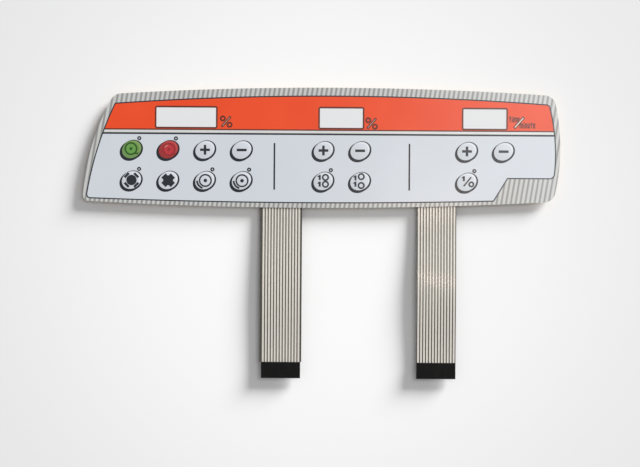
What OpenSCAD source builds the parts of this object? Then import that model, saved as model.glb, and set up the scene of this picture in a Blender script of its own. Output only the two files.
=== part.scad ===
// Membrane keypad: a printed front film on a two-film contact sandwich, with two flat tails that end in
// 13-way crimp sockets. It lies on its rear face with its front up. X runs along the panel, Y runs up its
// front and Z comes out of it. The origin is the middle of the panel, on the rear face. Millimetres.

/* [Panel] */
// Overall width of the panel
panel_w = 408.8; // [385:0.1:450]
// Overall height of the panel, from crown to crown
panel_h = 103; // [99:1:125]
// Radius of the bowed top edge
top_bow = 2900; // [1800:50:6000]
// Radius of the bowed bottom edge
bottom_bow = 3600; // [1800:50:6000]
// Radius of the bowed left edge
left_bow = 197; // [180:1:240]
// Radius of the bowed right edge
right_bow = 180; // [160:1:240]
// How far the top crown lies right of the middle, and the bottom crown left of it
crown_shift = 14; // [0:1:25]
// How far below the middle the left edge is widest
left_drop = 54; // [45:1:60]
// Corner radius at the top and at the lower right
corner_r = 10; // [5:0.5:14]
// Corner radius at the lower left
low_corner_r = 5; // [3:0.5:10]

/* [Printed field] */
// Striped border along the top edge
border_top = 6.7; // [5:0.1:10]
// Striped border along the bottom edge
border_bottom = 3.9; // [3:0.1:7]
// Striped border at the left end, at mid height
border_left = 5; // [4:0.1:9]
// Striped border at the right end
border_right = 3.5; // [3:0.1:8]
// Radius of the field's top edge
field_top_bow = 2513; // [1800:1:6000]
// Radius of the field's bottom edge
field_bottom_bow = 5500; // [2500:50:8000]
// Radius of the field's left edge
field_left_bow = 289; // [220:1:350]
// Radius of the field's right edge
field_right_bow = 165; // [140:1:220]
// How far below the middle the field's left edge is widest
field_left_drop = 86; // [60:1:100]
// How far below the middle the field's right edge is widest
field_right_drop = 5; // [0:0.5:10]
// Corner radius of the field at the top right and the lower left
field_corner_r = 3.5; // [2:0.5:6]
// Corner radius of the field at the top left
field_point_r = 1.2; // [1:0.1:4]
// Width of the dark line round the field
outline_w = 1; // [0.5:0.05:1.1]
// Where the step in the field's lower right corner starts, from the middle
step_x = 159.7; // [150:0.1:175]
// Height of the step's level edge
step_y = -25.8; // [-32:0.1:-20]
// How far the step's slanted edge leans for each millimetre down
step_lean = 0.61; // [0.3:0.01:1]
// Corner radius at the step's right end
step_r = 4.5; // [2:0.5:6]
// Pitch of the border's slanted stripes along X
stripe_pitch = 4.05; // [3:0.05:6]
// Width of one dark stripe along X
stripe_w = 1.6; // [1:0.1:2.5]
// Lean of the stripes from upright, in degrees
stripe_lean = 9.5; // [5:0.1:20]
// Lower edge of the orange band
band_y = 14.5; // [14:0.1:15.5]
// Height of the white stripe under the band
white_h = 2.2; // [1.5:0.1:3]
// Height of the dark rule under the white stripe
rule_h = 1.5; // [0.8:0.1:1.8]

/* [Windows] */
// Width of the left display window
wide_window_w = 51; // [40:0.5:60]
// Width of the middle and right display windows
window_w = 36.7; // [30:0.1:45]
// Height of the display windows
window_h = 16.6; // [14:0.1:17.5]
// Corner radius of the display windows
window_r = 0.6; // [0.3:0.1:2.5]
// Middle of the display windows
window_y = 25.5; // [25:0.1:27]
// Line printed round a window
window_line = 1.35; // [0.5:0.05:1.5]
// How much wider than a window the layers behind it are cut
window_margin = 1.2; // [0.5:0.1:2]

/* [Keys] */
// Middle of the first key of the left group
left_group_x = -163.1; // [-168:0.1:-155]
// Middle of the first key of the middle group
middle_group_x = 1.1; // [-8:0.1:8]
// Middle of the first key of the right group
right_group_x = 124; // [118:0.1:132]
// Pitch of the key columns
key_pitch_x = 31.4; // [28:0.1:34]
// Pitch of the key rows
key_pitch_y = 26.3; // [24:0.1:28]
// Middle of the upper key row
upper_row_y = -3; // [-5:0.1:-2]
// Long half axis of a key's printed face
face_long = 8.6; // [7:0.1:9]
// Short half axis of a key's printed face
face_short = 7.2; // [6:0.1:7.8]
// Turn of the face's long axis, in degrees
face_turn = 32; // [0:1:60]
// Dark line round a key's face
face_line = 1; // [0.4:0.05:1.4]
// Thickness of the printed shade at the key's lower left, along X
shade_x = 1.1; // [0.8:0.05:2]
// Thickness of the printed shade at the key's lower left, along Y
shade_y = 1.35; // [0.8:0.05:1.6]
// Bars of the plus and minus signs
sign_l = 8.4; // [6:0.1:10]
// Stroke of the plus and minus signs
sign_w = 2.15; // [1:0.05:2.5]
// Line of the rings in the other signs
ring_line = 1.3; // [0.7:0.1:1.7]
// From the left group's last key to the divider beside it
left_divider_gap = 28.6; // [18:0.1:32]
// From the middle group's last key to the divider beside it
right_divider_gap = 42.8; // [18:0.1:60]
// Length of the upright dividers between the groups
divider_l = 40; // [30:1:44]
// Width of the dividers
divider_w = 1.4; // [0.6:0.05:1.6]

/* [Indicators] */
// Indicator to the right of its key's middle
led_shift_x = 7; // [6.4:0.1:8]
// Indicator above its key's middle
led_shift_y = 10.2; // [9.9:0.1:11]
// Outside of the printed indicator ring
led_ring_d = 3.6; // [3:0.1:4.3]
// Line of the indicator ring
led_ring_line = 1.2; // [0.4:0.05:1.3]
// Length of an indicator chip
led_l = 1.6; // [1:0.1:2]
// Width of an indicator chip
led_w = 0.8; // [0.5:0.1:1]
// Height of an indicator chip
led_h = 0.35; // [0.3:0.01:0.4]

/* [Layers] */
// Peel-off paper on the rear
liner_t = 0.1; // [0.06:0.01:0.15]
// Rear adhesive
rear_adhesive_t = 0.13; // [0.05:0.01:0.2]
// Each circuit film
film_t = 0.125; // [0.1:0.005:0.18]
// Printed silver
silver_t = 0.02; // [0.01:0.005:0.03]
// Spacer between the circuit films
spacer_t = 0.2; // [0.15:0.01:0.3]
// Adhesive under the front film
front_adhesive_t = 0.13; // [0.12:0.01:0.2]
// Front film
overlay_t = 0.25; // [0.18:0.01:0.4]
// One pass of printing ink
ink_t = 0.03; // [0.02:0.005:0.04]

/* [Contacts] */
// Silver contact pad under a key
pad_d = 10; // [8:0.5:11]
// Hole in the spacer under a key
key_hole_d = 13; // [12:0.5:15]
// Air channel between neighbouring key holes
vent_w = 1.5; // [1:0.1:2.5]
// Silver line inside the panel
track_w = 0.4; // [0.3:0.05:0.5]
// Pitch of the silver lines along the lower edge
track_pitch = 0.7; // [0.6:0.05:0.75]
// Lowest silver line above the lower crown
track_margin = 6; // [5:0.1:7]
// Conductive dot that joins the two films
joint_d = 3.6; // [2:0.1:4]

/* [Tails] */
// Middle of the left tail
left_tail_x = -33.9; // [-36:0.1:-24]
// Middle of the right tail
right_tail_x = 99; // [96:0.1:103]
// Pitch of the lines in a tail
way_pitch = 2.54; // [2:0.01:2.54]
// Width of a silver line on a tail
way_w = 1.55; // [0.8:0.05:1.7]
// Bare film on the left of the left tail, beside its outermost pitch
left_tail_bare_l = 1.7; // [0:0.05:3]
// Bare film on the right of the left tail, beside its outermost pitch
left_tail_bare_r = 1.1; // [0:0.05:3]
// Bare film on either side of the right tail, beside its outermost pitch
right_tail_bare = 0.3; // [0:0.05:3]
// Distance from the lower crown to a socket's mouth
tail_l = 132; // [100:0.5:200]
// How far the left tail arches off the table
left_arch = 1.4; // [0:0.1:4]
// How far the right tail arches off the table
right_arch = 2.4; // [0:0.1:4]

/* [Sockets] */
// Length of a socket housing along the tail
socket_l = 13.8; // [12:0.1:18]
// Height of a socket housing
socket_h = 2.9; // [2.7:0.1:4]
// Wall beside the outermost contact pitch
socket_side = 0.2; // [0.2:0.05:1]
// Chamfer on the long edges of a housing
socket_chamfer = 0.3; // [0.1:0.05:0.4]
// Wall at either end of a housing
socket_wall = 1; // [0.8:0.1:1.4]
// Width and height of a contact
contact_w = 1.5; // [1.2:0.05:1.6]
// Play round a contact in its cavity
contact_play = 0.15; // [0.05:0.05:0.2]
// Side of a square pin hole
pin_hole = 0.8; // [0.6:0.05:0.9]
// Length of tail film inside a housing
tip_l = 4; // [3:0.1:5]
// Length of a contact's tongue
tongue_l = 3; // [2:0.1:3.5]
// Thickness of a contact's tongue
tongue_t = 0.2; // [0.1:0.05:0.3]

/* [Hidden] */
$fn = 48;
side_steps = 24;
corner_steps = 6;
oval_steps = 40;
tail_steps = 28;
least_r = 0.3;

// Heights of the layers
z_rear_adhesive = liner_t;
z_circuit = z_rear_adhesive + rear_adhesive_t;
z_silver = z_circuit + film_t;
z_spacer = z_silver + silver_t;
z_upper_silver = z_spacer + spacer_t;
z_upper_film = z_upper_silver + silver_t;
z_front_adhesive = z_upper_film + film_t;
z_overlay = z_front_adhesive + front_adhesive_t;
z_field = z_overlay + overlay_t;
z_lines = z_field + ink_t;
z_faces = z_lines + ink_t;
z_signs = z_faces + ink_t;

// Places of keys, windows and dividers
group_x = [left_group_x, middle_group_x, right_group_x];
group_columns = [4, 2, 2];
window_ws = [wide_window_w, window_w, window_w];
// Each key: group, column, row, sign, face, whether it has an indicator
KEYS = [
    [0, 0, 0, "target", "green", true],
    [0, 1, 0, "target", "red", true],
    [0, 2, 0, "plus", "pale", false],
    [0, 3, 0, "minus", "pale", false],
    [0, 0, 1, "iris", "pale", true],
    [0, 1, 1, "cross", "pale", false],
    [0, 2, 1, "dial", "pale", true],
    [0, 3, 1, "dial", "pale", true],
    [1, 0, 0, "plus", "pale", false],
    [1, 1, 0, "minus", "pale", false],
    [1, 0, 1, "tens close", "pale", true],
    [1, 1, 1, "tens apart", "pale", false],
    [2, 0, 0, "plus", "pale", false],
    [2, 1, 0, "minus", "pale", false],
    [2, 0, 1, "one of ten", "pale", true]];
function key_at(k) = [group_x[k[0]] + k[1] * key_pitch_x, upper_row_y - k[2] * key_pitch_y];
function led_at(k) = key_at(k) + [led_shift_x, led_shift_y];
function group_end(g) = group_x[g] + (group_columns[g] - 1) * key_pitch_x;
function group_middle(g) = (group_x[g] + group_end(g)) / 2;
// From a key's middle to its face, and from there to the dark oval that shows as a line round it
face_shift = [shade_x, shade_y] / 2;
rim_shift = [0.45, -0.4];
white_y = band_y - white_h;
rule_y = white_y - rule_h;
divider_y = upper_row_y - key_pitch_y / 2;
divider_xs = [group_end(0) + left_divider_gap, group_end(1) + right_divider_gap];

// How far beside a key's middle its lines climb, and where a line meets an indicator
key_lane = 13;
led_lane = 12;
upper_led_lane = 14.5;
led_pad_x = led_l / 3;

// Tails and sockets, with as many lines in a tail as the left group needs
way_count = len(group_ways(0));
tail_xs = [left_tail_x, right_tail_x];
arches = [left_arch, right_arch];
tail_bare = [[left_tail_bare_l, left_tail_bare_r], [right_tail_bare, right_tail_bare]];
ways_w = way_count * way_pitch;
socket_w = ways_w + 2 * socket_side;
mouth_y = -panel_h / 2 - tail_l;
socket_end_y = mouth_y - socket_l;
root_in = 4;
tail_flat = 8;
tip_bare = 0.1;
tip_w = (way_count - 1) * way_pitch + way_w + 2 * tip_bare;
tip_play = 0.15;
z_tip = socket_h / 2 - film_t / 2;
function way_x(side, i) = tail_xs[side] + (i - (way_count - 1) / 2) * way_pitch;
function edge_y(x) = bottom_bow - panel_h / 2 - sqrt(pow(bottom_bow, 2) - pow(x + crown_shift, 2));
function root_y(side) = edge_y(tail_xs[side]) + root_in;

// Outlines made of bowed sides and round corners

function turned(v) = [-v.y, v.x];
function bearing(v) = atan2(v.y, v.x);
function onward(from, to) = to < from ? to + 360 : to;
function on_circle(c, r, a) = c + r * [cos(a), sin(a)];
// Where two circles cross, on the left of the way from the first middle to the second
function crossing(c1, r1, c2, r2) =
    let (d = norm(c2 - c1), u = (c2 - c1) / d, along = (r1 * r1 - r2 * r2 + d * d) / (2 * d))
    c1 + along * u + sqrt(r1 * r1 - along * along) * turned(u);
function arc(c, r, from, to, steps, skip = 0) =
    [for (i = [skip : steps - skip]) on_circle(c, r, from + (to - from) * i / steps)];
// Sides are [middle, radius] in anticlockwise order, and corner i joins side i to the next
function outline(sides, corners) =
    let (n = len(sides),
        hubs = [for (i = [0 : n - 1]) let (a = sides[i], b = sides[(i + 1) % n])
            crossing(a[0], a[1] - corners[i], b[0], b[1] - corners[i])])
    [for (i = [0 : n - 1])
        let (here = sides[i], next = sides[(i + 1) % n], hub = hubs[i],
            from = bearing(hubs[(i + n - 1) % n] - here[0]),
            to = onward(from, bearing(hub - here[0])),
            bend = bearing(hub - here[0]))
        each concat(arc(here[0], here[1], from, to, side_steps),
            arc(hub, corners[i], bend, onward(bend, bearing(hub - next[0])), corner_steps, 1))];
function oval(long, short, turn, c) =
    [for (i = [0 : oval_steps - 1]) let (a = 360 * i / oval_steps, x = long * cos(a), y = short * sin(a))
        c + [x * cos(turn) - y * sin(turn), x * sin(turn) + y * cos(turn)]];

panel_sides = [
    [[panel_w / 2 - right_bow, 0], right_bow],
    [[crown_shift, panel_h / 2 - top_bow], top_bow],
    [[left_bow - panel_w / 2, -left_drop], left_bow],
    [[-crown_shift, bottom_bow - panel_h / 2], bottom_bow]];
panel_left_x = left_bow - panel_w / 2 - sqrt(pow(left_bow, 2) - pow(left_drop, 2));
field_left_hub = panel_left_x + border_left + sqrt(pow(field_left_bow, 2) - pow(field_left_drop, 2));
function field_sides(inset) = [
    [[panel_w / 2 - border_right - field_right_bow, -field_right_drop], field_right_bow - inset],
    [[crown_shift, panel_h / 2 - border_top - field_top_bow], field_top_bow - inset],
    [[field_left_hub, -field_left_drop], field_left_bow - inset],
    [[-crown_shift, field_bottom_bow + border_bottom - panel_h / 2], field_bottom_bow - inset]];
function field_corners(inset) =
    [for (r = [field_corner_r, field_point_r, field_corner_r, field_corner_r]) max(r - inset, least_r)];

module panel_face() {
    polygon(outline(panel_sides, [corner_r, corner_r, low_corner_r, corner_r]));
}

// The step cut from the field's lower right corner, grown by inset
module step_cut(inset) {
    corner = [step_x + inset * (step_lean - sqrt(1 + pow(step_lean, 2))), step_y + inset];
    foot = corner - panel_h * [step_lean, 1];
    right = field_sides(inset)[0];
    r = step_r - inset;
    hub_y = corner.y + r;
    hub = [right[0].x + sqrt(pow(right[1] - r, 2) - pow(hub_y - right[0].y, 2)), hub_y];
    polygon([corner, foot, [panel_w, foot.y], [panel_w, corner.y]]);
    difference() {
        translate([hub.x, corner.y]) square([panel_w / 2, r]);
        translate(hub) circle(r);
    }
}

module field_face(inset = 0) {
    difference() {
        polygon(outline(field_sides(inset), field_corners(inset)));
        step_cut(inset);
    }
}

// The part of the field between two heights
module field_between(low, high, inset = 0) {
    intersection() {
        field_face(inset);
        translate([-panel_w, low]) square([2 * panel_w, high - low]);
    }
}

module border_face() {
    difference() {
        panel_face();
        field_face();
    }
}

// A rectangle round the origin with round corners
function rounded(w, h, r) =
    [for (q = [0 : 3]) let (s = [q == 0 || q == 3 ? 1 : -1, q < 2 ? 1 : -1])
        each arc([s.x * (w / 2 - r), s.y * (h / 2 - r)], r, 90 * q, 90 * q + 90, corner_steps)];

module windows(grow = 0) {
    for (g = [0 : len(group_x) - 1])
        translate([group_middle(g), window_y])
            polygon(rounded(window_ws[g] + 2 * grow, window_h + 2 * grow, window_r + grow));
}

module led_holes() {
    for (k = KEYS) if (k[5]) translate(led_at(k)) circle(d = led_ring_d - 2 * led_ring_line);
}

module led_pockets() {
    for (k = KEYS) if (k[5]) translate(led_at(k)) circle(d = led_ring_d);
}

module layer(z, t) {
    translate([0, 0, z]) linear_extrude(t) children();
}

// A sheet of the sandwich, open behind the windows
module sheet_face() {
    difference() {
        panel_face();
        windows(window_margin);
    }
}

// Silver lines

// One edge of a line along a path, at a distance to its left
function path_edge(p, side) =
    [for (i = [0 : len(p) - 1])
        let (before = p[max(i, 1)] - p[max(i, 1) - 1],
            after = p[min(i + 1, len(p) - 1)] - p[min(i, len(p) - 2)],
            n1 = turned(before) / norm(before),
            n2 = turned(after) / norm(after))
        p[i] + side * (n1 + n2) / (1 + n1 * n2)];
function backwards(list) = [for (i = [len(list) - 1 : -1 : 0]) list[i]];
module track(path) {
    polygon(concat(path_edge(path, track_w / 2), backwards(path_edge(path, -track_w / 2))));
}

function has(g, c, r) = [for (k = KEYS) if (k[0] == g && k[1] == c && k[2] == r) k];
// The lines of one column from left to right: where each climbs, and where it ends
function column_ways(g, c) =
    let (upper = has(g, c, 0)[0], lower = has(g, c, 1))
    concat(
        upper[5] ? [[key_at(upper).x - upper_led_lane, led_at(upper) - [led_pad_x, 0]]] : [],
        [[key_at(upper).x - key_lane, key_at(upper)]],
        [for (k = lower) [key_at(k).x, key_at(k)]],
        [for (k = lower) if (k[5]) [key_at(k).x + led_lane, led_at(k) + [led_pad_x, 0]]]);
function group_ways(g) = [for (c = [0 : group_columns[g] - 1]) each column_ways(g, c)];
function track_start(side) = root_y(side) - root_in / 4;
function bus_y(level) = track_margin - panel_h / 2 + level * track_pitch;

// A line from a tail, along the lower edge and up to its key or indicator
module way_track(side, i, level, way) {
    x = way_x(side, i);
    climb = way[0];
    end = way[1];
    track(concat([[x, track_start(side)], [x, bus_y(level)], [climb, bus_y(level)], [climb, end.y]],
        climb == end.x ? [] : [end]));
}

module pads(groups) {
    for (k = KEYS) if (len(search(k[0], groups)) > 0) translate(key_at(k)) circle(d = pad_d);
}

left_ways = group_ways(0);
middle_ways = group_ways(1);
right_ways = group_ways(2);
led_common = len(middle_ways);
key_common = led_common + 1;
right_start = way_count - len(right_ways);
common_lane = 11;
common_gap = 2.4;
common_y = upper_row_y + led_shift_y + common_gap;
common_jog = 1.5;
joint_at = [way_x(1, key_common), divider_y];

// The return line of the indicators, with a drop to each
module led_return() {
    leds = [for (k = KEYS) if (k[5]) k];
    xs = [for (k = leds) led_at(k).x];
    track([[way_x(1, led_common), track_start(1)], [way_x(1, led_common), common_y]]);
    track([[min(xs), common_y], [max(max(xs) + common_lane, way_x(1, led_common)), common_y]]);
    for (k = leds) {
        near = led_at(k) + [led_pad_x, 0];
        far = led_at(k) - [led_pad_x, 0];
        drop_x = key_at(k).x + common_lane;
        if (k[2] == 0) track([[near.x, common_y], near]);
        else track([[drop_x, common_y], [drop_x, far.y + common_jog], [far.x, far.y + common_jog], far]);
    }
}

// Tails

function tail_z(side, t) =
    z_circuit + (z_tip - z_circuit) * t * t * (3 - 2 * t) + arches[side] * pow(sin(180 * t), 2);
function tail_path(side, lift) =
    let (start = edge_y(tail_xs[side]) - tail_flat)
    concat([[root_y(side), z_circuit + lift]],
        [for (i = [0 : tail_steps]) let (t = i / tail_steps)
            [start + (mouth_y - start) * t, tail_z(side, t) + lift]]);
// The same on into the socket
function whole_path(side, lift) =
    let (p = tail_path(side, lift)) concat(p, [[mouth_y - tip_l, p[len(p) - 1].y]]);
// The last stretch before the socket and the tip inside it
function tip_path(side, lift) =
    let (p = whole_path(side, lift), n = len(p)) [p[n - 3], p[n - 2], p[n - 1]];
module ribbon(x, w, low, high) {
    translate([x - w / 2, 0, 0]) rotate([90, 0, 90]) linear_extrude(w) polygon(concat(low, backwards(high)));
}
module tail_film(side) {
    bare = tail_bare[side];
    ribbon(tail_xs[side] + (bare[1] - bare[0]) / 2, ways_w + bare[0] + bare[1],
        tail_path(side, 0), tail_path(side, film_t));
    ribbon(tail_xs[side], tip_w, tip_path(side, 0), tip_path(side, film_t));
}
module tail_silver(side) {
    for (i = [0 : way_count - 1])
        ribbon(way_x(side, i), way_w, whole_path(side, film_t), whole_path(side, film_t + silver_t));
}

// Sheets of the sandwich

module release_liner() {
    color([0.86, 0.8, 0.68]) layer(0, liner_t) sheet_face();
}

module rear_adhesive() {
    color([0.9, 0.9, 0.86]) layer(z_rear_adhesive, rear_adhesive_t) sheet_face();
}

module circuit_film() {
    color([0.5, 0.49, 0.46]) {
        layer(z_circuit, film_t) sheet_face();
        for (side = [0, 1]) tail_film(side);
    }
}

module left_circuit() {
    color([0.84, 0.83, 0.81]) {
        layer(z_silver, silver_t) {
            for (i = [0 : len(left_ways) - 1]) way_track(0, i, i, left_ways[i]);
            pads([0]);
        }
        tail_silver(0);
    }
}

module right_circuit() {
    color([0.84, 0.83, 0.81]) {
        layer(z_silver, silver_t) {
            for (i = [0 : len(middle_ways) - 1]) way_track(1, i, i, middle_ways[i]);
            for (i = [0 : len(right_ways) - 1])
                way_track(1, right_start + i, len(right_ways) - 1 - i, right_ways[i]);
            pads([1, 2]);
            led_return();
            track([[way_x(1, key_common), track_start(1)], joint_at]);
            translate(joint_at) circle(d = joint_d);
        }
        tail_silver(1);
    }
}

module indicator_leds() {
    foot = led_h / 3;
    color([0.93, 0.9, 0.72]) for (k = KEYS) if (k[5]) translate([led_at(k).x, led_at(k).y, z_spacer]) {
        translate([-led_l / 2, -led_w / 2, 0]) cube([led_l, led_w, foot]);
        translate([-led_l / 3, -led_w / 2, foot]) cube([2 * led_l / 3, led_w, led_h - foot]);
    }
}

module film_joint() {
    color([0.6, 0.6, 0.6]) layer(z_spacer, spacer_t) translate(joint_at) circle(d = joint_d);
}

module spacer() {
    color([0.88, 0.89, 0.9]) layer(z_spacer, spacer_t) difference() {
        sheet_face();
        for (k = KEYS) translate(key_at(k)) circle(d = key_hole_d);
        for (g = [0 : len(group_x) - 1]) for (r = [0, 1]) {
            row = [for (k = KEYS) if (k[0] == g && k[2] == r) k];
            translate([group_x[g], upper_row_y - r * key_pitch_y - vent_w / 2])
                square([(len(row) - 1) * key_pitch_x + vent_w, vent_w]);
        }
        led_pockets();
        translate(joint_at) circle(d = joint_d + 2 * contact_play);
    }
}

// One net of pads that every key presses down
module upper_contacts() {
    color([0.84, 0.83, 0.81]) {
        layer(z_upper_silver, silver_t) pads([0, 1, 2]);
        layer(z_upper_silver, silver_t) translate(joint_at) circle(d = joint_d);
        for (r = [0, 1]) {
            y = upper_row_y - r * key_pitch_y;
            xs = [for (k = KEYS) if (k[2] == r) key_at(k).x];
            layer(z_upper_silver, silver_t) track([[min(xs), y], [max(xs), y]]);
        }
        layer(z_upper_silver, silver_t)
            track([[joint_at.x, upper_row_y], [joint_at.x, upper_row_y - key_pitch_y]]);
    }
}

module upper_film() {
    color([0.9, 0.91, 0.92]) layer(z_upper_film, film_t) difference() {
        sheet_face();
        led_pockets();
    }
}

module front_adhesive() {
    color([0.9, 0.9, 0.88]) layer(z_front_adhesive, front_adhesive_t) difference() {
        sheet_face();
        led_pockets();
    }
}

module graphic_overlay() {
    color([0.92, 0.93, 0.94]) layer(z_overlay, overlay_t) panel_face();
}

// Inks on the front film

module border_print() {
    color([0.84, 0.84, 0.84]) layer(z_field, ink_t) border_face();
}

module border_stripes() {
    reach = panel_h / 2;
    slide = reach * tan(stripe_lean);
    count = ceil((panel_w / 2 + slide) / stripe_pitch);
    half = stripe_w / 2;
    color([0.6, 0.6, 0.6]) layer(z_lines, ink_t) intersection() {
        border_face();
        for (i = [-count : count]) translate([i * stripe_pitch, 0])
            polygon([[-slide - half, -reach], [-slide + half, -reach],
                [slide + half, reach], [slide - half, reach]]);
    }
}

module orange_band() {
    color([0.89, 0.33, 0.19]) layer(z_field, ink_t) difference() {
        field_between(band_y, panel_h);
        windows();
    }
}

module white_stripe() {
    color([0.95, 0.94, 0.93]) layer(z_field, ink_t) field_between(white_y, band_y);
}

module key_field() {
    color([0.82, 0.84, 0.87]) layer(z_field, ink_t) difference() {
        field_between(-panel_h, white_y);
        led_holes();
    }
}

module indicator_spots() {
    color([0.93, 0.94, 0.95]) layer(z_field, ink_t) led_holes();
}

module dark_lines() {
    color([0.2, 0.22, 0.24]) layer(z_lines, ink_t) {
        difference() {
            field_face();
            field_face(outline_w);
        }
        field_between(rule_y, white_y, outline_w / 2);
        for (x = divider_xs) translate([x, divider_y]) square([divider_w, divider_l], center = true);
        for (k = KEYS) if (k[5]) translate(led_at(k)) ring(led_ring_d, led_ring_line);
    }
}

// Middle of each group's unit sign, from the right end of its window's middle line
unit_at = [[8.7, -3.6], [7.6, -4.4], [11, -3]];
percent_ring_d = 5.1;
percent_ring_line = 1.45;
percent_ring_at = [2.9, 2.7];
percent_slash = [3.2, 3.7];
percent_slash_w = 0.45;
edge_line = 1.1;
letter_line = 0.58;
letter_rise = 1;
letter_bold = 0.1;
unit_slash = [3.6, 4.1];
unit_slash_w = 0.75;
// Brown ink that shows round a white slash
slash_edge = 0.9;
// Where the upper word ends and the lower one starts, from the middle of the slash
upper_word_at = [0.2, 0.4];
lower_word_at = [0.4, -4.7];

module bar(from, to, w) {
    n = w / 2 * turned(to - from) / norm(to - from);
    polygon([from + n, from - n, to - n, to + n]);
}

module ring(d, line) {
    difference() {
        circle(d = d);
        circle(d = d - 2 * line);
    }
}

// Where a group's unit sign stands, beside its window
function unit_middle(g) = [group_middle(g) + window_ws[g] / 2, window_y] + unit_at[g];

module percent_rings() {
    for (s = [-1, 1]) translate([s * percent_ring_at.x, -s * percent_ring_at.y])
        ring(percent_ring_d, percent_ring_line);
}

function longer(v, by) = v * (1 + by / norm(v));
module slashes(edge) {
    for (g = [0 : len(group_x) - 1]) translate(unit_middle(g)) {
        end = longer(g == 2 ? unit_slash : percent_slash, edge);
        bar(-end, end, (g == 2 ? unit_slash_w : percent_slash_w) + 2 * edge);
    }
}

// Plain block letters: uprights and bars as [x, y, width, height] in strokes
function letter(c) =
    c == "t" ? [[1, 0, 1, 5], [0, 3, 3, 1]] :
    c == "i" ? [[0, 0, 1, 3], [0, 4, 1, 1]] :
    c == "m" ? [[0, 0, 1, 4], [1, 3, 3, 1], [2, 0, 1, 3], [4, 0, 1, 4]] :
    c == "n" ? [[0, 0, 1, 4], [1, 3, 1, 1], [2, 0, 1, 4]] :
    c == "u" ? [[0, 0, 1, 4], [1, 0, 1, 1], [2, 0, 1, 4]] :
    [[0, 0, 1, 4], [1, 0, 2, 1], [1, 3, 1, 1], [2, 2, 1, 2], [1, 1.6, 1, 0.8]];
function letter_w(c) = c == "m" ? 5 : c == "i" ? 1 : 3;
function word_w(word, n) = n == 0 ? 0 : word_w(word, n - 1) + letter_w(word[n - 1]) + 1;
module word_bars(word) {
    for (n = [0 : len(word) - 1]) for (b = letter(word[n]))
        translate([(word_w(word, n) + b[0]) * letter_line, b[1] * letter_rise] - letter_bold * [1, 1])
            square([b[2] * letter_line, b[3] * letter_rise] + 2 * letter_bold * [1, 1]);
}

module unit_signs() {
    for (g = [0, 1]) translate(unit_middle(g)) percent_rings();
    translate(unit_middle(2)) {
        translate(upper_word_at - [(word_w("time", 4) - 1) * letter_line, 0]) word_bars("time");
        translate(lower_word_at) word_bars("minute");
    }
    slashes(slash_edge);
}

module brown_lines() {
    color([0.36, 0.17, 0.12]) layer(z_lines, ink_t) {
        difference() {
            intersection() {
                windows(window_line);
                field_face(outline_w);
            }
            windows();
        }
        field_between(band_y, band_y + edge_line, outline_w);
        unit_signs();
    }
}

module white_slashes() {
    color([0.95, 0.93, 0.92]) layer(z_faces, ink_t) slashes(0);
}

module key_shades() {
    color([0.2, 0.22, 0.24]) layer(z_lines, ink_t) for (k = KEYS)
        for (c = [face_shift + rim_shift, -face_shift])
            polygon(oval(face_long + face_line, face_short + face_line, face_turn, key_at(k) + c));
}

module key_faces(tone) {
    layer(z_faces, ink_t) for (k = KEYS) if (k[4] == tone)
        polygon(oval(face_long, face_short, face_turn, key_at(k) + face_shift));
}

module pale_key_faces() {
    color([0.87, 0.89, 0.91]) key_faces("pale");
}

module green_key_face() {
    color([0.43, 0.61, 0.29]) key_faces("green");
}

module red_key_face() {
    color([0.72, 0.22, 0.22]) key_faces("red");
}

// Places in the signs count from the middle of the key's face
green_target_at = [-0.6, 0.6];
red_target_at = [0.5, 0.1];
target_d = 11.2;
target_line = 1.4;
target_dot_d = 2.6;
dial_at = [0.45, 0];
dial_d = 11.2;
dial_dot_d = 3.1;
dial_arc_r = 5.9;
dial_arc = [182, 254];
arc_w = 1.6;
iris_d = 8.9;
tab_l = 5.2;
tab_w = 2.1;
iris_tab_r = 5.8;
cross_tab_r = 4.7;
cross_d = 8.6;
zero_d = 6.1;
zero_line = 1.4;
tens_rise = 0.35;
close_ones = [-3, 2.85];
close_noughts = [1.9, 2.95];
apart_ones = [-3.8, 2.65];
apart_noughts = [1.1, 3.8];
one_l = 4.3;
one_w = 1.7;
flag_w = 1;
flag_reach = [1.8, 1.1];
tick_l = 2.8;
tick_at = [4.9, -4];
small_one_at = [-2.5, 2.9];
small_slash = [[-2.6, -3.5], [3.7, 4.3]];
small_slash_w = 1.25;
small_zero_d = 5.1;
small_zero_at = [3.9, -1.9];

module tabs(r) {
    for (a = [45 : 90 : 315]) rotate(a) translate([r, 0]) square([tab_w, tab_l], center = true);
}

module one(c) {
    translate(c) {
        square([one_w, one_l], center = true);
        top = [0, one_l / 2 - flag_w / 2];
        bar(top, top - flag_reach, flag_w);
    }
}

module tens(ones, noughts) {
    for (s = [-1, 1]) {
        translate([noughts.x, tens_rise + s * noughts.y]) ring(zero_d, zero_line);
        one([ones.x, tens_rise + s * ones.y]);
    }
}

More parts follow.
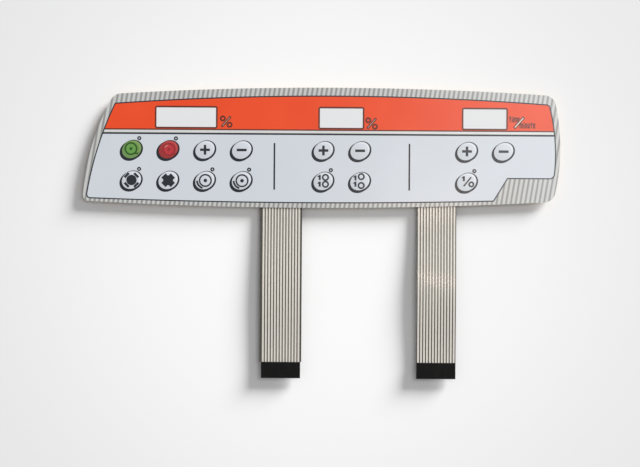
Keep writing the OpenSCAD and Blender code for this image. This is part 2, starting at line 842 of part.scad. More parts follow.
module sign_face(kind, face) {
    if (kind == "plus" || kind == "minus") square([sign_l, sign_w], center = true);
    if (kind == "plus") square([sign_w, sign_l], center = true);
    if (kind == "target") translate(face == "green" ? green_target_at : red_target_at) {
        ring(target_d, target_line);
        circle(d = target_dot_d);
        translate(tick_at) square([tick_l, target_line], center = true);
    }
    if (kind == "dial") {
        translate(dial_at) ring(dial_d, ring_line);
        translate(dial_at) circle(d = dial_dot_d);
        polygon(concat(arc([0, 0], dial_arc_r, dial_arc[0], dial_arc[1], corner_steps),
            arc([0, 0], dial_arc_r + arc_w, dial_arc[1], dial_arc[0], corner_steps)));
    }
    if (kind == "iris") {
        circle(d = iris_d);
        tabs(iris_tab_r);
    }
    if (kind == "cross") {
        circle(d = cross_d);
        tabs(cross_tab_r);
    }
    if (kind == "tens close") tens(close_ones, close_noughts);
    if (kind == "tens apart") tens(apart_ones, apart_noughts);
    if (kind == "one of ten") {
        one(small_one_at);
        bar(small_slash[0], small_slash[1], small_slash_w);
        translate(small_zero_at) ring(small_zero_d, zero_line);
    }
}

module key_signs() {
    color([0.18, 0.2, 0.22]) layer(z_signs, ink_t) for (k = KEYS)
        translate(key_at(k) + face_shift) intersection() {
            sign_face(k[3], k[4]);
            polygon(oval(face_long, face_short, face_turn, [0, 0]));
        }
}

// Sockets

cavity_side = contact_w + 2 * contact_play;
slot_h = film_t + silver_t + tongue_t + 4 * contact_play;
z_axis = socket_h / 2;
latch = [1, 1.8];
// How far a cutting shape runs past the face it cuts
over = 1;

module socket_housing(side) {
    c = socket_chamfer;
    cavity_l = socket_l - 2 * socket_wall;
    difference() {
        translate([tail_xs[side] - socket_w / 2, 0, 0]) rotate([90, 0, 90]) linear_extrude(socket_w)
            polygon([[socket_end_y + c, 0], [mouth_y - c, 0], [mouth_y, c], [mouth_y, socket_h - c],
                [mouth_y - c, socket_h], [socket_end_y + c, socket_h], [socket_end_y, socket_h - c],
                [socket_end_y, c]]);
        for (i = [0 : way_count - 1]) translate([way_x(side, i), 0, z_axis]) {
            translate([-cavity_side / 2, socket_end_y + socket_wall, -cavity_side / 2])
                cube([cavity_side, cavity_l, cavity_side]);
            translate([-pin_hole / 2, socket_end_y - over, -pin_hole / 2])
                cube([pin_hole, socket_wall + 2 * over, pin_hole]);
            translate([-latch.x / 2, socket_end_y + 2 * socket_wall, -z_axis - over])
                cube([latch.x, latch.y, z_axis + over]);
        }
        translate([tail_xs[side] - tip_w / 2 - tip_play, mouth_y - tip_l - tip_play, z_tip - contact_play])
            cube([tip_w + 2 * tip_play, tip_l + tip_play + over, slot_h]);
    }
}

module left_socket_housing() {
    color([0.11, 0.11, 0.1]) socket_housing(0);
}

module right_socket_housing() {
    color([0.11, 0.11, 0.1]) socket_housing(1);
}

module socket_contacts(side) {
    box_end = mouth_y - tip_l - 3 * contact_play;
    box_start = socket_end_y + socket_wall + contact_play;
    z_tongue = z_tip + film_t + silver_t;
    color([0.8, 0.76, 0.62]) for (i = [0 : way_count - 1]) translate([way_x(side, i), 0, 0]) {
        difference() {
            translate([-contact_w / 2, box_start, z_axis - contact_w / 2])
                cube([contact_w, box_end - box_start, contact_w]);
            translate([-pin_hole / 2, box_start - over, z_axis - pin_hole / 2])
                cube([pin_hole, box_end - box_start + 2 * over, pin_hole]);
        }
        translate([-contact_w / 2, box_end, z_tongue]) cube([contact_w, tongue_l, tongue_t]);
    }
}

module left_socket_contacts() {
    socket_contacts(0);
}

module right_socket_contacts() {
    socket_contacts(1);
}

release_liner();
rear_adhesive();
circuit_film();
left_circuit();
right_circuit();
indicator_leds();
film_joint();
spacer();
upper_contacts();
upper_film();
front_adhesive();
graphic_overlay();
border_print();
border_stripes();
orange_band();
white_stripe();
key_field();
indicator_spots();
dark_lines();
brown_lines();
white_slashes();
key_shades();
pale_key_faces();
green_key_face();
red_key_face();
key_signs();
left_socket_housing();
right_socket_housing();
left_socket_contacts();
right_socket_contacts();
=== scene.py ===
import math
import bmesh
import bpy
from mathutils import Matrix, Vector


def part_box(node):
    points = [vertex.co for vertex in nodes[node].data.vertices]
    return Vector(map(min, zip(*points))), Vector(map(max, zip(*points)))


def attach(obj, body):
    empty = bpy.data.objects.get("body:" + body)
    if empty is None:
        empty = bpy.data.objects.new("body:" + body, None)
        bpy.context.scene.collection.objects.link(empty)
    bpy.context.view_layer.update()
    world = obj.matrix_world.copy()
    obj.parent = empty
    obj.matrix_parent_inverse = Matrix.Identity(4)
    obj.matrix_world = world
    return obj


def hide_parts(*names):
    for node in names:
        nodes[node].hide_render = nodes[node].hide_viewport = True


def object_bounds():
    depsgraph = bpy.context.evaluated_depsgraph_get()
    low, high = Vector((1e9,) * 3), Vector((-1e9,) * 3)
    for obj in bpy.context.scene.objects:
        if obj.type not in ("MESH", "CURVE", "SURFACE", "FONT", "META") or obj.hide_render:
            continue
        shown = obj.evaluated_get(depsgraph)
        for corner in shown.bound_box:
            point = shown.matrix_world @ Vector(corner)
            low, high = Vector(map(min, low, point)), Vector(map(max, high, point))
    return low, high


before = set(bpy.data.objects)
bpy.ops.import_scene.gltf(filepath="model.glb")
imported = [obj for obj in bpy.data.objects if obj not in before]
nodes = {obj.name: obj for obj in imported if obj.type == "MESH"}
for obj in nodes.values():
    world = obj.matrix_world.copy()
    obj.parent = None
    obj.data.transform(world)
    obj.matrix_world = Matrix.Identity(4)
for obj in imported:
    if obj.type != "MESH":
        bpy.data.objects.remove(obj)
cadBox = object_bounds()
mm = 0.001
weldGap = 0.001 * mm
print("frame loaded:", len(nodes), "nodes")


# Node trees

class Wire:
    # a socket that can be added, multiplied and so on, each time with a Math node
    def __init__(self, tree, socket):
        self.tree = tree
        self.socket = socket

    @classmethod
    def node(cls, tree, kind, settings=None, inputs=None, output=0):
        made = tree.nodes.new(kind)
        for name, value in (settings or {}).items():
            setattr(made, name, value)
        for name, value in (inputs or {}).items():
            if isinstance(name, str):
                socket = next(s for s in made.inputs if s.name == name and s.enabled)
            else:
                socket = made.inputs[name]
            if isinstance(value, Wire):
                tree.links.new(value.socket, socket)
            else:
                socket.default_value = value
        if not made.outputs:
            return None
        if isinstance(output, str):
            return cls(tree, next(s for s in made.outputs if s.name == output and s.enabled))
        return cls(tree, made.outputs[output])

    def maths(self, operation, *values):
        return Wire.node(self.tree, "ShaderNodeMath", {"operation": operation}, dict(enumerate(values)))

    def __add__(self, other):
        return self.maths("ADD", self, other)

    def __radd__(self, other):
        return self.maths("ADD", other, self)

    def __sub__(self, other):
        return self.maths("SUBTRACT", self, other)

    def __rsub__(self, other):
        return self.maths("SUBTRACT", other, self)

    def __mul__(self, other):
        return self.maths("MULTIPLY", self, other)

    def __truediv__(self, other):
        return self.maths("DIVIDE", self, other)

    def __pow__(self, other):
        return self.maths("POWER", self, other)

    def ramp(self, low, high):
        # 0 at low, 1 at high and smooth between, in either direction
        settings = {"interpolation_type": "SMOOTHSTEP"}
        if low < high:
            return Wire.node(self.tree, "ShaderNodeMapRange", settings,
                             {"Value": self, "From Min": low, "From Max": high})
        return 1 - Wire.node(self.tree, "ShaderNodeMapRange", settings,
                             {"Value": self, "From Min": high, "From Max": low})

    def axis(self, name):
        return Wire.node(self.tree, "ShaderNodeSeparateXYZ", {}, {"Vector": self}, name)


def colourOf(red, green, blue):
    # screen colour, 0 to 255, as the linear colour that a socket takes
    def straight(value):
        share = value / 255
        return share / 12.92 if share <= 0.04045 else ((share + 0.055) / 1.055) ** 2.4
    return (straight(red), straight(green), straight(blue), 1.0)


def blendColours(factor, first, second):
    return Wire.node(factor.tree, "ShaderNodeMix", {"data_type": "RGBA"},
                     {"Factor": factor, "A": first, "B": second}, "Result")


def objectPlace(tree, stretch=(1, 1, 1)):
    where = Wire.node(tree, "ShaderNodeTexCoord", {}, {}, "Object")
    if stretch == (1, 1, 1):
        return where
    return Wire.node(tree, "ShaderNodeMapping", {}, {"Vector": where, "Scale": stretch})


def noiseAt(where, size, detail=2.0, roughness=0.5):
    return Wire.node(where.tree, "ShaderNodeTexNoise", {},
                     {"Vector": where, "Scale": 1 / size, "Detail": detail, "Roughness": roughness}, "Fac")


def bumpFrom(height, depth):
    return Wire.node(height.tree, "ShaderNodeBump", {},
                     {"Strength": 1.0, "Distance": depth, "Height": height})


def newMaterial(name):
    material = bpy.data.materials.new(name)
    material.use_nodes = True
    material.node_tree.nodes.clear()
    return material, material.node_tree


def surface(tree, **sockets):
    inputs = {name.replace("_", " "): value for name, value in sockets.items()}
    shader = Wire.node(tree, "ShaderNodeBsdfPrincipled", {}, inputs)
    Wire.node(tree, "ShaderNodeOutputMaterial", {}, {"Surface": shader})


def dress(nodeName, material):
    slots = nodes[nodeName].data.materials
    slots.clear()
    slots.append(material)


# Printing inks: a little grain from the screen mesh, slow drifts of tone, and the gloss of the front film

inkLook = {
    "grainSize": 0.35 * mm,
    "driftSize": 45 * mm,
    "grainShare": 0.35,
    "gloss": 0.23,
    "glossSpread": 0.05,
    "tooth": 0.0012 * mm,
}


def inkTone(where):
    grain = noiseAt(where, inkLook["grainSize"])
    drift = noiseAt(where, inkLook["driftSize"], detail=1.0)
    tone = grain * inkLook["grainShare"] + drift * (1 - inkLook["grainShare"])
    return grain, tone.ramp(0.3, 0.7)


def inkSurface(tree, grain, colour, shine=0.5):
    surface(tree, Base_Color=colour, Specular_IOR_Level=shine,
            Roughness=inkLook["gloss"] + (grain - 0.5) * inkLook["glossSpread"],
            Normal=bumpFrom(grain, inkLook["tooth"]))


def plainInk(name, darker, lighter, shine):
    material, tree = newMaterial(name)
    grain, tone = inkTone(objectPlace(tree))
    inkSurface(tree, grain, blendColours(tone, colourOf(*darker), colourOf(*lighter)), shine)
    return material


inkColours = {
    "orange_band": ((230, 72, 30), (236, 79, 36), 0.55),
    "white_stripe": ((209, 210, 209), (215, 216, 215), 0.95),
    "key_field": ((205, 212, 218), (209, 214, 221), 0.62),
    "indicator_spots": ((200, 206, 212), (212, 218, 224), 0.5),
    "dark_lines": ((34, 40, 46), (44, 50, 56), 0.5),
    "brown_lines": ((88, 42, 32), (104, 52, 40), 0.5),
    "key_shades": ((26, 32, 38), (38, 45, 52), 0.5),
}
for nodeName, (darker, lighter, shine) in inkColours.items():
    dress(nodeName, plainInk(nodeName + "Ink", darker, lighter, shine))


# Slashes of the unit signs: a thin, pinkish one in each percent sign and a cream one in the last

slashLook = {"pink": (206, 156, 142), "cream": (247, 234, 218), "creamFrom": 120 * mm}


def slashInk():
    material, tree = newMaterial("slashInk")
    where = objectPlace(tree)
    grain, tone = inkTone(where)
    last = where.axis("X").ramp(slashLook["creamFrom"], 1.1 * slashLook["creamFrom"])
    colour = blendColours(last, colourOf(*slashLook["pink"]), colourOf(*slashLook["cream"]))
    inkSurface(tree, grain, blendColours(tone * 0.1, colour, colourOf(*slashLook["pink"])))
    return material


dress("white_slashes", slashInk())
print("flat inks done")


# Copies of nodes whose form stays

def cadCopy(nodeName, pieceName, sharpAngle):
    mesh = bmesh.new()
    mesh.from_mesh(nodes[nodeName].data)
    bmesh.ops.remove_doubles(mesh, verts=mesh.verts, dist=weldGap)
    for face in mesh.faces:
        face.smooth = True
    for edge in mesh.edges:
        edge.smooth = edge.calc_face_angle(math.pi) < math.radians(sharpAngle)
    made = bpy.data.meshes.new(pieceName)
    mesh.to_mesh(made)
    mesh.free()
    piece = bpy.data.objects.new(pieceName, made)
    bpy.context.scene.collection.objects.link(piece)
    return piece


def putOn(piece, slot, *replaced):
    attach(piece, "root")
    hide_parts(*replaced)


# Striped border: one print with soft slanted stripes, each shaded like a round rib

stripeLook = {
    "pitch": 4.05 * mm,
    "lean": 9.5,
    "light": ((193, 194, 192), (202, 203, 201)),
    "dark": ((138, 139, 137), (150, 151, 149)),
    "darkFrom": 0.6,
    "softness": 0.32,
    "shine": 0.68,
}


def stripedPrint():
    material, tree = newMaterial("stripedPrint")
    where = objectPlace(tree)
    grain, tone = inkTone(where)
    slide = math.tan(math.radians(stripeLook["lean"]))
    turn = (where.axis("X") - where.axis("Y") * slide) * (2 * math.pi / stripeLook["pitch"])
    wave = turn.maths("COSINE", turn) * 0.5 + 0.5
    soft = stripeLook["softness"]
    rib = wave.ramp(stripeLook["darkFrom"] - soft, stripeLook["darkFrom"] + soft)
    light = blendColours(tone, *[colourOf(*c) for c in stripeLook["light"]])
    dark = blendColours(tone, *[colourOf(*c) for c in stripeLook["dark"]])
    inkSurface(tree, grain, blendColours(rib, light, dark), stripeLook["shine"])
    return material


stripedBorder = cadCopy("border_print", "stripedBorder", 30)
stripedBorder.data.materials.append(stripedPrint())
putOn(stripedBorder, "light_grey_ink", "border_print", "border_stripes")
print("striped border done")


# Key faces: turned ovals, one for each key, that carry their own place as an attribute

keyLook = {
    "longAxis": 8.6 * mm,
    "shortAxis": 7.2 * mm,
    "turn": 32.0,
    "lightFrom": 45.0,
    "rimPlace": 0.88,
    "rimWidth": 0.07,
    "heartEdge": (0.66, 0.55),
    "glintWidth": 0.12,
    "mottleShare": 0.15,
}


def islandMiddles(nodeName):
    mesh = bmesh.new()
    mesh.from_mesh(nodes[nodeName].data)
    bmesh.ops.remove_doubles(mesh, verts=mesh.verts, dist=weldGap)
    left = set(mesh.verts)
    middles = []
    while left:
        island = {left.pop()}
        edge = list(island)
        while edge:
            near = {e.other_vert(v) for v in edge for e in v.link_edges} - island
            island |= near
            edge = list(near)
        left -= island
        low = [min(v.co[i] for v in island) for i in range(3)]
        high = [max(v.co[i] for v in island) for i in range(3)]
        middles.append((Vector(low) + Vector(high)) / 2)
    mesh.free()
    return sorted(middles, key=lambda p: (round(p.x, 4), p.y))


def keyFaceTree():
    tree = bpy.data.node_groups.new("keyFaces", "GeometryNodeTree")
    sockets = (("Points", "Geometry"), ("Long Axis", "Float"), ("Short Axis", "Float"), ("Turn", "Float"),
               ("Thickness", "Float"), ("Ink", "Material"))
    for name, kind in sockets:
        tree.interface.new_socket(name, in_out="INPUT", socket_type="NodeSocket" + kind)
    tree.interface.new_socket("Faces", in_out="OUTPUT", socket_type="NodeSocketGeometry")
    given = tree.nodes.new("NodeGroupInput")
    size = {name: Wire(tree, given.outputs[name]) for name, kind in sockets}
    disc = Wire.node(tree, "GeometryNodeMeshCylinder", {"fill_type": "TRIANGLE_FAN"},
                     {"Vertices": 64, "Side Segments": 1, "Fill Segments": 6, "Radius": 1.0,
                      "Depth": size["Thickness"]})
    spot = Wire.node(tree, "GeometryNodeInputPosition")
    marked = Wire.node(tree, "GeometryNodeStoreNamedAttribute",
                       {"data_type": "FLOAT_VECTOR", "domain": "POINT"},
                       {"Geometry": disc, "Name": "keyPlace", "Value": spot})
    spread = Wire.node(tree, "ShaderNodeCombineXYZ", {},
                       {"X": size["Long Axis"], "Y": size["Short Axis"], "Z": 1.0})
    turned = Wire.node(tree, "ShaderNodeCombineXYZ", {}, {"Z": size["Turn"]})
    oval = Wire.node(tree, "GeometryNodeTransform", {},
                     {"Geometry": marked, "Scale": spread, "Rotation": turned})
    copies = Wire.node(tree, "GeometryNodeInstanceOnPoints", {}, {"Points": size["Points"], "Instance": oval})
    real = Wire.node(tree, "GeometryNodeRealizeInstances", {}, {"Geometry": copies})
    inked = Wire.node(tree, "GeometryNodeSetMaterial", {}, {"Geometry": real, "Material": size["Ink"]})
    Wire.node(tree, "NodeGroupOutput", {}, {"Faces": inked})
    return tree


def keyFaces(pieceName, nodeName, slot, tree, material):
    low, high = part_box(nodeName)
    seeds = bpy.data.meshes.new(pieceName)
    seeds.from_pydata(islandMiddles(nodeName), [], [])
    piece = bpy.data.objects.new(pieceName, seeds)
    bpy.context.scene.collection.objects.link(piece)
    modifier = piece.modifiers.new("keyFaces", "NODES")
    modifier.node_group = tree
    names = {item.name: item.identifier for item in tree.interface.items_tree if item.in_out == "INPUT"}
    modifier[names["Long Axis"]] = keyLook["longAxis"]
    modifier[names["Short Axis"]] = keyLook["shortAxis"]
    modifier[names["Turn"]] = math.radians(keyLook["turn"])
    modifier[names["Thickness"]] = high.z - low.z
    modifier[names["Ink"]] = material
    view = bpy.context.evaluated_depsgraph_get()
    done = piece.evaluated_get(view)
    made = bpy.data.meshes.new_from_object(done, preserve_all_data_layers=True, depsgraph=view)
    piece.modifiers.clear()
    piece.data = made
    putOn(piece, slot, nodeName)


def keyInk(name, look):
    # low and high are the tones at the lower left and the upper right, rim the light line inside the edge
    material, tree = newMaterial(name)
    grain, tone = inkTone(objectPlace(tree))
    spot = Wire.node(tree, "ShaderNodeAttribute", {"attribute_name": "keyPlace"}, {}, "Vector")
    across, up = spot.axis("X"), spot.axis("Y")
    towards = math.radians(keyLook["lightFrom"] - keyLook["turn"])
    lit = across * math.cos(towards) + up * math.sin(towards)
    radius = (across * across + up * up) ** 0.5
    share = lit.ramp(-0.9, 0.9) * (1 - keyLook["mottleShare"]) + tone * keyLook["mottleShare"]
    colour = blendColours(share, colourOf(*look["low"]), colourOf(*look["high"]))
    if "heart" in look:
        colour = blendColours(radius.ramp(*keyLook["heartEdge"]), colour, colourOf(*look["heart"]))
    edge = keyLook["rimPlace"]
    line = radius.ramp(edge - keyLook["rimWidth"], edge) * radius.ramp(edge + keyLook["rimWidth"], edge)
    colour = blendColours(line * lit.ramp(0.1, 0.9), colour, colourOf(*look["rim"]))
    # Painted highlight: a light arc drawn into the red key's colour where a raised ring would reflect light;
    # the face itself is flat.
    if "glint" in look:
        glint = look["glint"]
        angle = math.radians(glint["angle"] - keyLook["turn"])
        side = across * math.cos(angle) + up * math.sin(angle)
        middle = glint["radius"]
        width = keyLook["glintWidth"]
        ring = radius.ramp(middle - width, middle) * radius.ramp(middle + width, middle)
        paintedHighlight = ring * (side / (radius + 0.01)).ramp(0.8, 1.0) * glint["share"]
        colour = blendColours(paintedHighlight, colour, colourOf(*glint["colour"]))
    inkSurface(tree, grain, colour)
    return material


keyColours = {
    "paleKeys": {
        "node": "pale_key_faces", "slot": "pale_ink",
        "low": (198, 204, 210), "high": (214, 219, 226), "rim": (238, 241, 245),
    },
    "greenKey": {
        "node": "green_key_face", "slot": "green_ink",
        "low": (108, 144, 84), "high": (116, 150, 80), "rim": (140, 172, 106), "heart": (102, 154, 74),
    },
    "redKey": {
        "node": "red_key_face", "slot": "red_ink",
        "low": (150, 50, 50), "high": (178, 62, 62), "rim": (198, 88, 86), "heart": (184, 54, 60),
        # the glint is a painted highlight arc on the flat red face
        "glint": {"angle": 125, "radius": 0.5, "share": 0.5, "colour": (236, 190, 178)},
    },
}
keyTree = keyFaceTree()
for pieceName, look in keyColours.items():
    keyFaces(pieceName, look["node"], look["slot"], keyTree, keyInk(pieceName + "Ink", look))


# Signs: dark on the pale keys, and a deeper tone of the face on the two coloured ones

signLook = {
    "plain": ((32, 38, 44), (44, 50, 56)),
    "onGreen": (44, 88, 30),
    "onRed": (150, 42, 46),
    "reach": 9.5 * mm,
}


def signInk():
    material, tree = newMaterial("signInk")
    where = objectPlace(tree)
    grain, tone = inkTone(where)
    colour = blendColours(tone, *[colourOf(*c) for c in signLook["plain"]])
    for nodeName, deep in (("green_key_face", "onGreen"), ("red_key_face", "onRed")):
        low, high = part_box(nodeName)
        middle = (low + high) / 2
        far = Wire.node(tree, "ShaderNodeVectorMath", {"operation": "DISTANCE"},
                        {0: where, 1: middle}, "Value")
        colour = blendColours(far.ramp(signLook["reach"], 0.95 * signLook["reach"]), colour,
                              colourOf(*signLook[deep]))
    inkSurface(tree, grain, colour)
    return material


dress("key_signs", signInk())
print("keys and signs done")


# Front film: clear, so the windows show what lies behind

filmLook = {
    "colour": (238, 239, 240),
    "veil": 0.86,
    "shine": 0.3,
    "gloss": 0.2,
    "wear": 0.06,
    "wearSize": 3 * mm,
}


def frontFilm():
    material, tree = newMaterial("frontFilm")
    material.surface_render_method = "DITHERED"
    rub = noiseAt(objectPlace(tree, (1, 0.2, 1)), filmLook["wearSize"], detail=4.0)
    surface(tree, Base_Color=colourOf(*filmLook["colour"]), Alpha=filmLook["veil"],
            Specular_IOR_Level=filmLook["shine"], Roughness=filmLook["gloss"] + rub * filmLook["wear"])
    return material


dress("graphic_overlay", frontFilm())


# Inner layers, seen at the cut edge and in the windows

layerLook = {
    "rear_adhesive": ((214, 212, 200), (226, 224, 214), 0.35),
    "spacer": ((208, 211, 213), (222, 225, 227), 0.22),
    "upper_film": ((212, 214, 216), (226, 228, 230), 0.2),
    "front_adhesive": ((216, 215, 206), (228, 227, 220), 0.35),
    "indicator_leds": ((226, 214, 158), (240, 230, 182), 0.18),
    "film_joint": ((146, 145, 142), (172, 171, 168), 0.5),
}
layerGrain = {"cloudSize": 1.2 * mm, "glossSpread": 0.1, "tooth": 0.002 * mm}


def layerFinish(name, darker, lighter, gloss):
    material, tree = newMaterial(name)
    cloud = noiseAt(objectPlace(tree), layerGrain["cloudSize"], detail=3.0)
    colour = blendColours(cloud.ramp(0.3, 0.7), colourOf(*darker), colourOf(*lighter))
    surface(tree, Base_Color=colour, Roughness=gloss + (cloud - 0.5) * layerGrain["glossSpread"],
            Normal=bumpFrom(cloud, layerGrain["tooth"]))
    return material


for nodeName, (darker, lighter, gloss) in layerLook.items():
    dress(nodeName, layerFinish(nodeName + "Finish", darker, lighter, gloss))


# Peel-off paper on the rear, with fibres

linerLook = {
    "darker": (196, 170, 126),
    "lighter": (222, 200, 158),
    "fibreSize": 0.5 * mm,
    "fibreDepth": 0.004 * mm,
    "fleckSize": 3 * mm,
    "gloss": 0.42,
    "glossSpread": 0.15,
}


def linerPaper():
    material, tree = newMaterial("linerPaper")
    fibres = noiseAt(objectPlace(tree, (1, 0.12, 1)), linerLook["fibreSize"], detail=5.0, roughness=0.6)
    flecks = noiseAt(objectPlace(tree), linerLook["fleckSize"], detail=2.0)
    tone = (fibres * 0.7 + flecks * 0.3).ramp(0.35, 0.65)
    colour = blendColours(tone, colourOf(*linerLook["darker"]), colourOf(*linerLook["lighter"]))
    surface(tree, Base_Color=colour, Roughness=linerLook["gloss"] + fibres * linerLook["glossSpread"],
            Normal=bumpFrom(fibres, linerLook["fibreDepth"]))
    return material


dress("release_liner", linerPaper())
print("layers done")


# Circuit film with its two tails, and the printed silver

circuitLook = {
    "dark": (74, 72, 66),
    "light": (86, 84, 78),
    "mottleSize": 1.5 * mm,
    "shine": 0.15,
    "gloss": 0.16,
    "glossSpread": 0.08,
    "rippleSize": 22 * mm,
    "rippleDepth": 0.05 * mm,
}


def rippleNormal(tree):
    # slow waves that the film and the silver on it share
    wave = noiseAt(objectPlace(tree), circuitLook["rippleSize"], detail=1.0)
    return bumpFrom(wave, circuitLook["rippleDepth"])


def circuitFilm():
    material, tree = newMaterial("circuitFilm")
    mottle = noiseAt(objectPlace(tree), circuitLook["mottleSize"], detail=3.0)
    tone = mottle.ramp(0.3, 0.7)
    colour = blendColours(tone, colourOf(*circuitLook["dark"]), colourOf(*circuitLook["light"]))
    surface(tree, Base_Color=colour, Specular_IOR_Level=circuitLook["shine"],
            Roughness=circuitLook["gloss"] + (mottle - 0.5) * circuitLook["glossSpread"],
            Normal=rippleNormal(tree))
    return material


silverLook = {
    "dark": (207, 202, 192),
    "light": (227, 222, 213),
    "streakSize": 0.25 * mm,
    "shine": 0.2,
    "gloss": 0.42,
    "glossSpread": 0.16,
    "metal": 0.04,
    "metalSpread": 0.08,
    "coat": 0.26,
    "coatGloss": 0.1,
}


def silverInk():
    material, tree = newMaterial("silverInk")
    streaks = noiseAt(objectPlace(tree, (1, 0.05, 1)), silverLook["streakSize"], detail=4.0)
    tone = streaks.ramp(0.3, 0.7)
    colour = blendColours(tone, colourOf(*silverLook["dark"]), colourOf(*silverLook["light"]))
    surface(tree, Base_Color=colour, Specular_IOR_Level=silverLook["shine"],
            Metallic=silverLook["metal"] + tone * silverLook["metalSpread"],
            Roughness=silverLook["gloss"] + (streaks - 0.5) * silverLook["glossSpread"],
            Coat_Weight=silverLook["coat"], Coat_Roughness=silverLook["coatGloss"],
            Normal=rippleNormal(tree))
    return material


silver = silverInk()
tailFilm = cadCopy("circuit_film", "circuitFilm", 20)
tailFilm.data.materials.append(circuitFilm())
putOn(tailFilm, "circuit_film", "circuit_film")
for side in ("left", "right"):
    lines = cadCopy(side + "_circuit", side + "Lines", 20)
    lines.data.materials.append(silver)
    putOn(lines, "silver_ink", side + "_circuit")
dress("upper_contacts", silver)
print("tails done")


# Sockets: black moulded housings, and tinned contacts inside them

housingLook = {
    "black": (8, 8, 8),
    "worn": (17, 17, 16),
    "shine": 0.15,
    "gloss": 0.5,
    "glossSpread": 0.2,
    "grainSize": 0.18 * mm,
    "grainDepth": 0.006 * mm,
    "flowSize": 4 * mm,
}


def mouldedBlack():
    material, tree = newMaterial("mouldedBlack")
    grain = noiseAt(objectPlace(tree), housingLook["grainSize"], detail=3.0)
    flow = noiseAt(objectPlace(tree, (1, 0.3, 1)), housingLook["flowSize"], detail=2.0)
    tone = (grain * 0.5 + flow * 0.5).ramp(0.35, 0.7)
    colour = blendColours(tone, colourOf(*housingLook["black"]), colourOf(*housingLook["worn"]))
    surface(tree, Base_Color=colour, Specular_IOR_Level=housingLook["shine"],
            Roughness=housingLook["gloss"] + (grain - 0.5) * housingLook["glossSpread"],
            Normal=bumpFrom(grain, housingLook["grainDepth"]))
    return material


contactLook = {
    "dark": (176, 164, 132),
    "light": (214, 206, 182),
    "wearSize": 0.4 * mm,
    "wearDepth": 0.002 * mm,
    "gloss": 0.28,
    "glossSpread": 0.15,
}


def tinnedBrass():
    material, tree = newMaterial("tinnedBrass")
    wear = noiseAt(objectPlace(tree, (1, 0.2, 1)), contactLook["wearSize"], detail=3.0).ramp(0.3, 0.7)
    colour = blendColours(wear, colourOf(*contactLook["dark"]), colourOf(*contactLook["light"]))
    surface(tree, Base_Color=colour, Metallic=1.0,
            Roughness=contactLook["gloss"] + wear * contactLook["glossSpread"],
            Normal=bumpFrom(wear, contactLook["wearDepth"]))
    return material


black = mouldedBlack()
tin = tinnedBrass()
for side in ("left", "right"):
    dress(side + "_socket_housing", black)
    dress(side + "_socket_contacts", tin)
print("sockets done")


# Floor, light and camera

stageLook = {
    "size": 6.0,
    "centre": (-0.85 * mm, -73.4 * mm),
    "drop": 6.2 * mm,
    # bright and dim make a painted pool of light: the floor colour is lighter around the centre and darker
    # further out
    "bright": (250, 250, 250),
    "dim": (232, 232, 233),
    "dimFrom": 0.06,
    "dimTo": 0.36,
    "gloss": 0.9,
}


def floorPaintedLightPool():
    material, tree = newMaterial("floorPaintedLightPool")
    where = objectPlace(tree)
    centre = (*stageLook["centre"], 0)
    far = Wire.node(tree, "ShaderNodeVectorMath", {"operation": "DISTANCE"}, {0: where, 1: centre}, "Value")
    # Painted pool of light: the floor colour dims with distance from the centre.
    colour = blendColours(far.ramp(stageLook["dimFrom"], stageLook["dimTo"]), colourOf(*stageLook["bright"]),
                          colourOf(*stageLook["dim"]))
    surface(tree, Base_Color=colour, Roughness=stageLook["gloss"], Specular_IOR_Level=0.0)
    return material


def makeFloor():
    half = stageLook["size"] / 2
    level = cadBox[0].z - stageLook["drop"]
    sheet = bpy.data.meshes.new("floor")
    corners = [(-half, -half), (half, -half), (half, half), (-half, half)]
    sheet.from_pydata([(x, y, level) for x, y in corners], [], [(0, 1, 2, 3)])
    sheet.materials.append(floorPaintedLightPool())
    floor = bpy.data.objects.new("floor", sheet)
    bpy.context.scene.collection.objects.link(floor)


lightLook = {
    "roomLevel": 0.3,
    "roomTint": (0.98, 0.99, 1.0, 1.0),
    "lowSunShare": 0.57,
    "lowSunHeight": 21.0,
    "lowSunSide": 43.0,
    "lowSunSpread": 25.0,
    "panelWatts": 7.2,
    "panelSize": 0.8,
    "panelAt": (0.68, 0.3, 2.1),
    "tailWatts": 0.45,
    "tailSize": (0.14, 0.05),
    "tailAt": (0.192, -0.05, 1.4),
    "tailAim": (0.0995, -0.114, 0),
    "tailTint": (1.0, 0.74, 0.6),
}


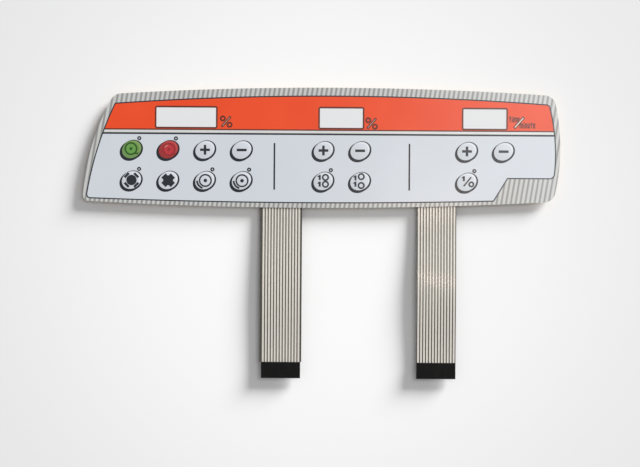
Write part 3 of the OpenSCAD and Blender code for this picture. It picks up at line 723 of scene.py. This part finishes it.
def addLamp(name, kind, settings, at, target):
    data = bpy.data.lights.new(name, kind)
    for key, value in settings.items():
        setattr(data, key, value)
    lamp = bpy.data.objects.new(name, data)
    lamp.location = at
    lamp.rotation_euler = (Vector(target) - Vector(at)).to_track_quat("-Z", "Y").to_euler()
    lamp.visible_camera = False
    bpy.context.scene.collection.objects.link(lamp)


def makeLights():
    world = bpy.data.worlds.new("room")
    world.use_nodes = True
    world.node_tree.nodes.clear()
    room = Wire.node(world.node_tree, "ShaderNodeBackground", {},
                     {"Color": lightLook["roomTint"], "Strength": lightLook["roomLevel"]})
    Wire.node(world.node_tree, "ShaderNodeOutputWorld", {}, {"Surface": room})
    bpy.context.scene.world = world
    height, side = math.radians(lightLook["lowSunHeight"]), math.radians(lightLook["lowSunSide"])
    aim = Vector((math.cos(height) * math.cos(side), math.cos(height) * math.sin(side), math.sin(height)))
    strength = lightLook["lowSunShare"] * math.pi / math.sin(height)
    addLamp("lowSun", "SUN", {"energy": strength, "angle": math.radians(lightLook["lowSunSpread"])},
            3 * aim, (0, 0, 0))
    addLamp("softPanel", "AREA", {"energy": lightLook["panelWatts"], "size": lightLook["panelSize"]},
            lightLook["panelAt"], (0, 0, 0))
    wide, deep = lightLook["tailSize"]
    addLamp("tailGlint", "AREA", {"energy": lightLook["tailWatts"], "shape": "RECTANGLE", "size": wide,
                                  "size_y": deep, "color": lightLook["tailTint"]},
            lightLook["tailAt"], lightLook["tailAim"])


cameraLook = {"frameWidth": 548 * mm, "lens": 100.0, "sensor": 36.0, "roll": 0.37}


def makeCamera():
    data = bpy.data.cameras.new("camera")
    data.lens = cameraLook["lens"]
    data.sensor_width = cameraLook["sensor"]
    camera = bpy.data.objects.new("camera", data)
    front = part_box("graphic_overlay")[1].z
    away = cameraLook["frameWidth"] * cameraLook["lens"] / cameraLook["sensor"]
    camera.location = (*stageLook["centre"], front + away)
    camera.rotation_euler = (0, 0, math.radians(cameraLook["roll"]))
    bpy.context.scene.collection.objects.link(camera)
    bpy.context.scene.camera = camera


makeFloor()
makeLights()
makeCamera()
bpy.context.scene.view_settings.view_transform = "Standard"
print("stage done")
